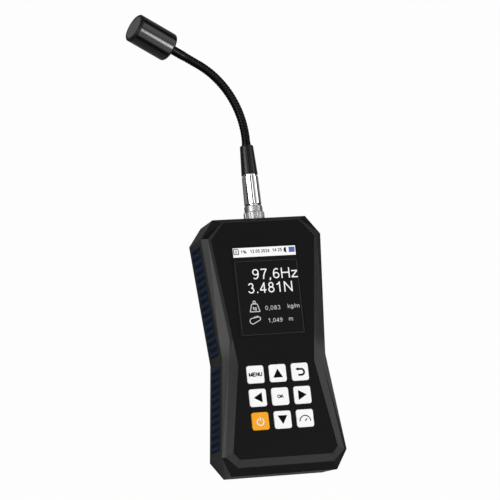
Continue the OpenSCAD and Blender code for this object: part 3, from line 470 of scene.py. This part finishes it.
screen_white = lit("screen_white", grey(0.96), 1.0)
screen_grey = lit("screen_grey", grey(0.62), 1.0)
screen_line = lit("screen_line", grey(0.008), 1.0)
screen_blue = lit("screen_blue", (0.07, 0.11, 0.36, 1), 1.0)
screen_dark = Finish("screen_dark", Roughness=0.4, Specular_IOR_Level=0.1)
screen_dark.set(Base_Color=screen_dark.shades(screen_dark.noise(0.3 * mm), grey(0.004), grey(0.02)))
on_screen = Vector(((window_low.x + window_high.x) / 2, (window_low.y + window_high.y) / 2, picture_z))
on_bar = on_screen + Vector((0, 0, print_depth))

# Sizes and places on the display are in millimetres from its middle.
picture_left, picture_right = -21.4, 21.7
bar_foot, bar_top = 22.4, 28.6
bar_middle = (bar_foot + bar_top) / 2
printed("status_bar", [plate(picture_left, bar_foot, picture_right, bar_top)], on_screen, screen_white, "housing")
card_x1, card_x2, card_y1, card_y2 = -20.9, -17.6, bar_middle - 1.1, bar_middle + 2.4
card_lines = [
    [(card_x1, card_y1), (card_x2, card_y1)], [(card_x1, card_y2), (card_x2 - 0.8, card_y2)],
    [(card_x1, card_y1), (card_x1, card_y2)], [(card_x2, card_y1), (card_x2, card_y2 - 0.8)],
    [(card_x2 - 0.9, card_y2 + 0.1), (card_x2 + 0.1, card_y2 - 0.9)],
    [(card_x1 + 0.9, card_y1 + 1.1), (card_x2 - 0.9, card_y1 + 1.1)],
    [(card_x1 + 0.9, card_y1 + 2.1), (card_x2 - 1.2, card_y1 + 2.1)]]
printed("bar_signs", [
    drawn(0.55, *card_lines), figures("1%", -16.3, bar_middle - 0.7, 2.1, weight=0.2),
    figures("12.05.2024", -9.7, bar_middle - 0.5, 2.1, 13.6, 0.2),
    figures("14:25", 5.6, bar_middle - 0.3, 2.1, 6.9, 0.2)], on_bar, screen_dark, "housing")
printed("bar_battery_fill", [plate(16.9, bar_middle - 1.2, 21.2, bar_middle + 2.3, 0.4)], on_bar, screen_blue,
    "housing")
printed("bar_battery_end", [filled("circle", 0.02, vertices=24, radius=1.8, fill_type="NGON",
    location=(15.3, bar_middle + 0.55, 0))], on_bar, screen_dark, "housing")
printed("bar_battery_gap", [plate(15.3, bar_middle - 1.2, 17.1, bar_middle + 2.3, 0.7)],
    on_bar + Vector((0, 0, print_depth)), screen_white, "housing")

frame_left, frame_right, frame_foot, frame_top = -21.0, 21.6, -29.2, 19.5
printed("picture_frame", [drawn(0.35,
    [(frame_left, frame_top), (frame_right, frame_top)], [(frame_left, frame_foot), (frame_right, frame_foot)],
    [(frame_left, frame_foot), (frame_left, frame_top)], [(frame_right, frame_foot), (frame_right, frame_top)])],
    on_screen, screen_line, "housing")
printed("large_readings", [
    figures("97,6Hz", -10.3, 7.3, 6.9, 32.0), figures("3.481N", -14.3, -1.8, 6.9, 31.8)],
    on_screen, screen_white, "housing")

# A weight with the unit in it stands before the belt's mass, and a belt on two wheels before its length.
weight_x, weight_foot, weight_top = -10.6, -14.0, -8.9
wide, narrow = 3.4, 1.9
weight_lines = [
    [(weight_x - wide, weight_foot), (weight_x + wide, weight_foot)],
    [(weight_x - wide, weight_foot), (weight_x - narrow, weight_top)],
    [(weight_x + wide, weight_foot), (weight_x + narrow, weight_top)],
    [(weight_x - narrow, weight_top), (weight_x + narrow, weight_top)],
    arc(weight_x, weight_top + 1.1, 0.85, 0.85, 0, 360)]
big_x, big_y, big_r, small_x, small_y, small_r = -12.9, -20.1, 1.9, -8.6, -18.7, 1.2
lean = math.degrees(math.atan2(small_y - big_y, small_x - big_x))
belt_line = (arc(big_x, big_y, big_r, big_r, lean + 95, lean + 265)
    + arc(small_x, small_y, small_r, small_r, lean - 95, lean + 95))
belt_lines = [belt_line + belt_line[:1]] + [
    [(big_x + 1.3 + 1.1 * i, big_y + 2.1 + 0.2 * i), (big_x + 1.6 + 1.1 * i, big_y + 3.0 + 0.2 * i)] for i in range(3)]
printed("small_readings", [
    drawn(0.55, *weight_lines, *belt_lines), figures("kg", weight_x - 1.3, weight_foot + 1.3, 2.1, 2.6, 0.18),
    figures("0,083", -3.7, -13.3, 2.8, 11.0), figures("kg/m", 11.9, -12.8, 2.8, 8.6),
    figures("1,049", -2.6, -21.6, 2.8, 10.4), figures("m", 11.8, -21.2, 2.8)],
    on_screen, screen_grey, "housing")

# The nine keys, caps of white plastic that stand through the front plate, with black printed signs. The power
# key is orange and its sign is white.
key_plastic = Finish("key_plastic", Specular_IOR_Level=0.2)
key_cloud = key_plastic.noise(5 * mm)
key_plastic.set(Base_Color=key_plastic.shades(key_cloud, grey(0.92), grey(0.96)), Roughness=key_cloud * 0.1 + 0.4)
key_plastic.bump(key_plastic.noise(0.2 * mm), 0.01 * mm, 0.4)
power_plastic = Finish("power_plastic", Specular_IOR_Level=0.2)
power_cloud = power_plastic.noise(5 * mm)
power_plastic.set(Base_Color=power_plastic.shades(power_cloud, (0.9, 0.36, 0.006, 1), (0.95, 0.41, 0.008, 1)),
    Roughness=power_cloud * 0.1 + 0.4)
power_plastic.bump(power_plastic.noise(0.2 * mm), 0.01 * mm, 0.4)
key_ink = Finish("key_ink", Roughness=0.5, Specular_IOR_Level=0.05)
key_ink.set(Base_Color=key_ink.shades(key_ink.noise(0.3 * mm), grey(0.0008), grey(0.002)))
key_paint = Finish("key_paint", Roughness=0.5, Specular_IOR_Level=0.3)
key_paint.set(Base_Color=key_paint.shades(key_paint.noise(0.3 * mm), grey(0.88), grey(0.95)))

# Sizes and places on a key are in millimetres from its middle.
arrow_size, arrow_shift = 3.85, 0.95
sign_line, power_line = 1.25, 0.8
KEY_SIGNS = {
    "menu": lambda: [figures("MENU", -4.6, -1.2, 2.5, 9.2, 0.26)],
    "up": lambda: [triangle(0, -arrow_shift, arrow_size, 90)],
    "back": lambda: [
        drawn(sign_line, [(-1.6, 1.8), (0.9, 1.8)] + arc(0.9, -0.15, 1.95, 1.95, 90, -90) + [(-1.4, -2.1)]),
        triangle(-1.7, 1.8, 1.3, 180)],
    "left": lambda: [triangle(arrow_shift, 0.1, arrow_size, 180)],
    "ok": lambda: [figures("OK", -2.1, -1.05, 2.1, 4.3, 0.28)],
    "right": lambda: [triangle(-arrow_shift, 0.1, arrow_size, 0)],
    "power": lambda: [drawn(power_line, arc(0, -0.4, 2.3, 2.3, 125, 415), [(0, 0.2), (0, 2.7)])],
    "down": lambda: [triangle(0, arrow_shift, arrow_size, -90)],
    "gauge": lambda: [drawn(0.7, arc(0, -1.9, 3.7, 3.7, 0, 180), [(-0.1, -1.9), (1.4, -0.1)])],
}
for key, sign in KEY_SIGNS.items():
    cap = eased(f"key_{key}", f"cap_{key}", 0.3 * mm, segments=3)
    power = key == "power"
    dress(cap, power_plastic if power else key_plastic)
    low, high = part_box(f"key_{key}")
    middle = (low + high) / 2
    printed(f"sign_{key}", sign(), Vector((middle.x, middle.y, high.z + print_depth / 2)),
        key_paint if power else key_ink, f"key_{key}")


# The sensor socket, the plug and its latch sleeve. All are turned from brass and plated in satin chrome, and
# fine rings from turning run round them.
def plated(name, tone, rough):
    plating = Finish(name, Metallic=1.0)
    rings = plating.noise(0.25 * mm, (0.02, 1, 0.02), detail=2)
    tint = plating.noise(6 * mm)
    plating.set(Base_Color=plating.shades(tint, grey(tone - 0.08), grey(tone + 0.06)),
        Roughness=rings * 0.05 + rough)
    plating.bump(rings, 0.001 * mm, 0.1)
    return plating


# A turned piece is drawn as its closed outline, in radii and heights in millimetres, and spun about its axis.
turning_steps = 120


def turned(node, name, outline, foot, heading, width, segments=2):
    """A round piece on an axis that starts at its foot, in the node's place."""
    bpy.ops.object.select_all(action="DESELECT")
    bpy.ops.mesh.primitive_plane_add(size=1)
    piece = bpy.context.object
    piece.name = piece.data.name = name
    bpy.ops.object.mode_set(mode="EDIT")
    bpy.ops.mesh.select_all(action="SELECT")
    bpy.ops.mesh.merge(type="CENTER")
    first_radius, first_height = outline[0]
    bpy.ops.transform.translate(value=(first_radius, 0, first_height))
    for (radius, height), (next_radius, next_height) in zip(outline, outline[1:] + outline[:1]):
        bpy.ops.mesh.extrude_vertices_move(
            TRANSFORM_OT_translate={"value": (next_radius - radius, 0, next_height - height)})
    bpy.ops.mesh.select_all(action="SELECT")
    bpy.ops.mesh.spin(steps=turning_steps, angle=2 * math.pi, center=(0, 0, 0), axis=(0, 0, 1))
    bpy.ops.mesh.select_all(action="SELECT")
    bpy.ops.mesh.remove_doubles(threshold=0.002)
    bpy.ops.mesh.normals_make_consistent(inside=False)
    bpy.ops.object.mode_set(mode="OBJECT")
    if name == "socket":
        notch_flange(piece)
    piece.data.transform(Matrix.Translation(foot) @ heading.to_track_quat("Z", "Y").to_matrix().to_4x4()
        @ Matrix.Scale(mm, 4))
    return rounded(piece, node, width, segments, angle=20)


# The socket's flange has a ring of fine notches from its foot to its bevel.
flange_r, flange_foot, flange_top = 6.9, 84.2, 89.3
notch_foot, notch_depth, notch_count = 85.4, 0.35, 20


def notch_flange(piece):
    for corner in piece.data.vertices:
        radius = math.hypot(corner.co.x, corner.co.y)
        share = math.atan2(corner.co.y, corner.co.x) / (2 * math.pi) * notch_count
        on_wall = radius > flange_r - 0.01 and corner.co.z > notch_foot - 0.01
        if on_wall and abs(share - round(share)) < 0.01:
            inward = (flange_r - notch_depth) / flange_r
            corner.co = (corner.co.x * inward, corner.co.y * inward, corner.co.z)


socket_chrome = plated("socket_chrome", 0.42, 0.3)
sleeve_chrome = plated("sleeve_chrome", 0.72, 0.04)
plug_axis_x, plug_axis_z = 0, 19.5 * mm
plug_foot = Vector((plug_axis_x, 0, plug_axis_z))
plug_heading = Vector((0, 1, 0))
socket_outline = [
    (4.35, 94.0), (5.6, 94.0), (6.0, 93.6), (6.0, 89.7), (6.5, 89.7), (flange_r, flange_top), (flange_r, notch_foot),
    (flange_r, notch_foot - 0.2), (flange_r, flange_foot), (6.6, 84.2), (6.6, 85.0), (5.9, 85.0), (5.9, 84.2),
    (5.5, 84.2), (5.5, 71.7), (3.15, 71.7), (3.15, 80.4), (4.35, 80.4)]
sleeve_outline = [(4.35, 94.7), (5.3, 94.7), (5.7, 95.1), (5.4, 113.7), (4.9, 113.7), (4.9, 117.2), (4.35, 117.2)]
dress(turned("socket_body", "socket", socket_outline, plug_foot, plug_heading, 0.08 * mm), socket_chrome)
dress(turned("latch_sleeve", "sleeve", sleeve_outline, plug_foot, plug_heading, 0.12 * mm), sleeve_chrome)
for name in ("plug_shell", "plug_back_nut"):
    dress(nodes[name], sleeve_chrome)

# The bend relief, a tapered sleeve of smooth black rubber that is pushed over the plug's rear.
relief_rubber = Finish("relief_rubber", Specular_IOR_Level=0.4)
relief_cloud = relief_rubber.noise(4 * mm)
relief_rubber.set(Base_Color=relief_rubber.shades(relief_cloud, grey(0.002), grey(0.004)),
    Roughness=relief_cloud * 0.06 + 0.2)
relief_outline = [
    (4.95, 115.1), (5.45, 115.1), (4.45, 134.5), (3.85, 135.1), (3.25, 135.1), (3.25, 122.75), (4.45, 122.75),
    (4.45, 118.7), (4.95, 118.7)]
dress(turned("bend_relief", "relief", relief_outline, plug_foot, plug_heading, 0.15 * mm, segments=3), relief_rubber)

# The bendable arm, a wound steel tube in a black sheath. Its turns show as fine ribs, and both ends are smooth.
# The sheath is drawn in stretches, each of which holds one of the arm's joints.
joints = {joint["name"]: joint for joint in frame["joints"]}
arm_joints = [joints[f"arm_joint_{i}"] for i in range(1, 8)]
joint_places = [Vector(joint["pos_m"]) for joint in arm_joints]
bend_axis = Vector(arm_joints[0]["axis"])
bend_radius = 56 * mm
bend_angle = math.radians(63)
arm_start = joint_places[0]
arm_heading = Vector((0, 1, 0))
arm_side = bend_axis.cross(arm_heading)
bend_length = bend_radius * bend_angle
sheath_radius, end_radius = 2.72 * mm, 3.0 * mm
rib_pitch, rib_height = 2 * mm, 0.16 * mm
rings_per_rib, sheath_sides = 8, 28


def along_arm(length):
    """Place and heading on the arm's middle line, at a length from its first joint."""
    turn = min(max(length / bend_length, 0), 1) * bend_angle
    straight = length - min(max(length, 0), bend_length)
    heading = arm_heading * math.cos(turn) + arm_side * math.sin(turn)
    bent = arm_heading * math.sin(turn) + arm_side * (1 - math.cos(turn))
    return arm_start + bent * bend_radius + heading * straight, heading


head_end = 88.5 * mm
joint_lengths = []
for place in joint_places:
    steps = [i * 0.05 * mm for i in range(2000)]
    joint_lengths.append(min(steps, key=lambda length: (along_arm(length)[0] - place).length))
smooth_start, smooth_end = -1.5 * mm, 72 * mm


def sheath_thickness(length):
    """Radius of the sheath: ribs in the middle, smooth and a little thicker at both ends."""
    near_end = max(0, min(1, (length - smooth_end) / (2 * mm)), min(1, (smooth_start - length) / (2 * mm)))
    rib = rib_height * (0.5 + 0.5 * math.cos(2 * math.pi * length / rib_pitch))
    return sheath_radius + rib * (1 - near_end) + (end_radius - sheath_radius) * near_end


sheath = Finish("arm_sheath", Specular_IOR_Level=0.12)
sheath_cloud = sheath.noise(3 * mm)
sheath.set(Base_Color=sheath.shades(sheath_cloud, grey(0.0008), grey(0.0016)), Roughness=sheath_cloud * 0.06 + 0.16)
stretch_ends = [-5 * mm] + [(a + b) / 2 for a, b in zip(joint_lengths, joint_lengths[1:])] + [head_end]
for i in range(7):
    first, last = stretch_ends[i], stretch_ends[i + 1]
    ring_count = max(8, round((last - first) / rib_pitch * rings_per_rib))
    bpy.ops.object.select_all(action="DESELECT")
    bpy.ops.mesh.primitive_circle_add(vertices=sheath_sides, radius=1)
    tube = bpy.context.object
    tube.name = tube.data.name = f"arm_sheath_{i + 1}"
    bpy.ops.object.mode_set(mode="EDIT")
    for ring in range(ring_count):
        bpy.ops.mesh.extrude_region_move(TRANSFORM_OT_translate={"value": (0, 0, 1)})
    bpy.ops.object.mode_set(mode="OBJECT")
    for corner in tube.data.vertices:
        length = first + (last - first) * corner.co.z / ring_count
        middle, heading = along_arm(length)
        across = bend_axis.cross(heading)
        corner.co = middle + (across * corner.co.x + bend_axis * corner.co.y) * sheath_thickness(length)
    alone(tube)
    bpy.ops.object.mode_set(mode="EDIT")
    bpy.ops.mesh.select_all(action="SELECT")
    bpy.ops.mesh.normals_make_consistent(inside=False)
    bpy.ops.object.mode_set(mode="OBJECT")
    bpy.ops.object.shade_smooth()
    dress(tube, sheath)
    joint_length = joint_lengths[i]
    reach = 5 * mm
    along_arm(joint_length - reach)[0]
    along_arm(joint_length + reach)[0]
    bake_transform(tube)
    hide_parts(f"arm_link_{i + 1}", *(["arm_link_8"] if i == 6 else []))

# The sensor head, an aluminium can with a rounded rear edge and a screwed front ring, both anodised satin black.
anodised = Finish("black_anodised", Specular_IOR_Level=0.7)
rub = anodised.noise(5 * mm)
anodised.set(Base_Color=anodised.shades(rub, grey(0.003), grey(0.006)), Roughness=rub * 0.05 + 0.16)
anodised.bump(anodised.noise(0.3 * mm), 0.002 * mm, 0.2)
head_foot, head_heading = along_arm(bend_length + 23.3 * mm)
head_radius, rear_round = 9.7, 1.8
rear_corner = [(head_radius - rear_round * (1 - math.sin(math.radians(angle))),
    rear_round * (1 - math.cos(math.radians(angle)))) for angle in range(0, 91, 10)]
can_outline = [(3.25, 0)] + rear_corner + [
    (head_radius, 27), (8.3, 27), (8.3, 12), (7.5, 12), (7.5, 2), (3.25, 2)]
ring_outline = [
    (7.0, 25.5), (8.225, 25.5), (8.225, 27), (head_radius, 27), (head_radius, 28.3), (9.0, 29), (7.9, 29),
    (7.9, 28.2), (7.0, 28.2)]
dress(turned("head_shell", "head_can", can_outline, head_foot, head_heading, 0.1 * mm), anodised)
ring_black = Finish("ring_black", Specular_IOR_Level=0.3)
ring_rub = ring_black.noise(2 * mm)
ring_black.set(Base_Color=ring_black.shades(ring_rub, grey(0.003), grey(0.006)), Roughness=ring_rub * 0.1 + 0.42)
dress(turned("head_ring", "head_front_ring", ring_outline, head_foot, head_heading, 0.12 * mm), ring_black)

# The sound mesh in the head's front, a disc of fine dark cloth that lets the sound through.
mesh_cloth = Finish("sound_cloth", Roughness=0.75)
weave_scale = 0.45 * mm
mesh_place = mesh_cloth.node("ShaderNodeTexCoord", {}, {}, "Object")
threads = mesh_cloth.node("ShaderNodeTexVoronoi", {}, {"Vector": mesh_place, "Scale": 1 / weave_scale}, "Distance")
mesh_cloth.set(Base_Color=mesh_cloth.shades(threads, grey(0.16), grey(0.08)))
mesh_cloth.bump(threads, 0.05 * mm, 0.5)
dress(nodes["sound_mesh"], mesh_cloth)


# The parts inside. They are seen only when the tester is opened: board, battery, display, seals, screws and the
# head's small parts.
def plain(name, dark, light, size, rough, metal=0.0):
    finish = Finish(name, Metallic=metal)
    spots = finish.noise(size)
    finish.set(Base_Color=finish.shades(spots, dark + (1,), light + (1,)), Roughness=spots * 0.15 + rough)
    return finish


INNER = {
    "display_panel": plain("display_glass", (0.006, 0.007, 0.012), (0.01, 0.012, 0.02), 8 * mm, 0.15),
    "display_backlight": plain("backlight_frame", (0.5, 0.5, 0.52), (0.6, 0.6, 0.62), 6 * mm, 0.4),
    "main_board": plain("board_lacquer", (0.008, 0.07, 0.03), (0.015, 0.12, 0.05), 2 * mm, 0.35),
    "board_components": plain("chip_resin", (0.015, 0.015, 0.017), (0.03, 0.03, 0.033), 1 * mm, 0.55),
    "key_switches": plain("switch_metal", (0.5, 0.5, 0.52), (0.62, 0.62, 0.64), 1 * mm, 0.3, 1.0),
    "battery": plain("battery_foil", (0.5, 0.5, 0.52), (0.65, 0.65, 0.67), 7 * mm, 0.35, 1.0),
    "battery_pad": plain("pad_foam", (0.06, 0.06, 0.06), (0.1, 0.1, 0.1), 1 * mm, 0.9),
    "battery_lead": plain("lead_red", (0.25, 0.01, 0.008), (0.35, 0.02, 0.012), 1 * mm, 0.45),
    "charging_socket": plain("socket_steel", (0.5, 0.5, 0.51), (0.62, 0.62, 0.63), 2 * mm, 0.3, 1.0),
    "board_screws": plain("screw_zinc", (0.5, 0.51, 0.53), (0.65, 0.66, 0.68), 1 * mm, 0.35, 1.0),
    "housing_screws": plain("screw_black", (0.02, 0.02, 0.022), (0.05, 0.05, 0.052), 1 * mm, 0.35, 1.0),
    "socket_nut": plain("nut_nickel", (0.5, 0.49, 0.46), (0.64, 0.63, 0.6), 2 * mm, 0.3, 1.0),
    "socket_insulator": plain("insulator_cream", (0.6, 0.56, 0.45), (0.68, 0.64, 0.53), 3 * mm, 0.4),
    "plug_insulator": plain("plug_cream", (0.6, 0.56, 0.45), (0.68, 0.64, 0.53), 3 * mm, 0.4),
    "socket_contacts": plain("contact_gold", (0.75, 0.5, 0.16), (0.85, 0.62, 0.25), 1 * mm, 0.2, 1.0),
    "plug_pins": plain("pin_gold", (0.75, 0.5, 0.16), (0.85, 0.62, 0.25), 1 * mm, 0.2, 1.0),
    "plug_collet": plain("collet_brass", (0.6, 0.42, 0.15), (0.72, 0.52, 0.22), 1 * mm, 0.3, 1.0),
    "sensor_lead": plain("flat_lead", (0.45, 0.18, 0.03), (0.55, 0.25, 0.05), 2 * mm, 0.3),
    "microphone": plain("capsule_metal", (0.55, 0.55, 0.56), (0.68, 0.68, 0.7), 2 * mm, 0.3, 1.0),
    "microphone_mount": plain("mount_foam", (0.03, 0.03, 0.03), (0.05, 0.05, 0.05), 1 * mm, 0.9),
    "preamp_board": plain("small_board_lacquer", (0.008, 0.07, 0.03), (0.015, 0.12, 0.05), 2 * mm, 0.35),
    "arm_ferrule": plain("ferrule_steel", (0.5, 0.5, 0.51), (0.62, 0.62, 0.63), 1 * mm, 0.3, 1.0),
}
for name, finish in INNER.items():
    dress(nodes[name], finish)
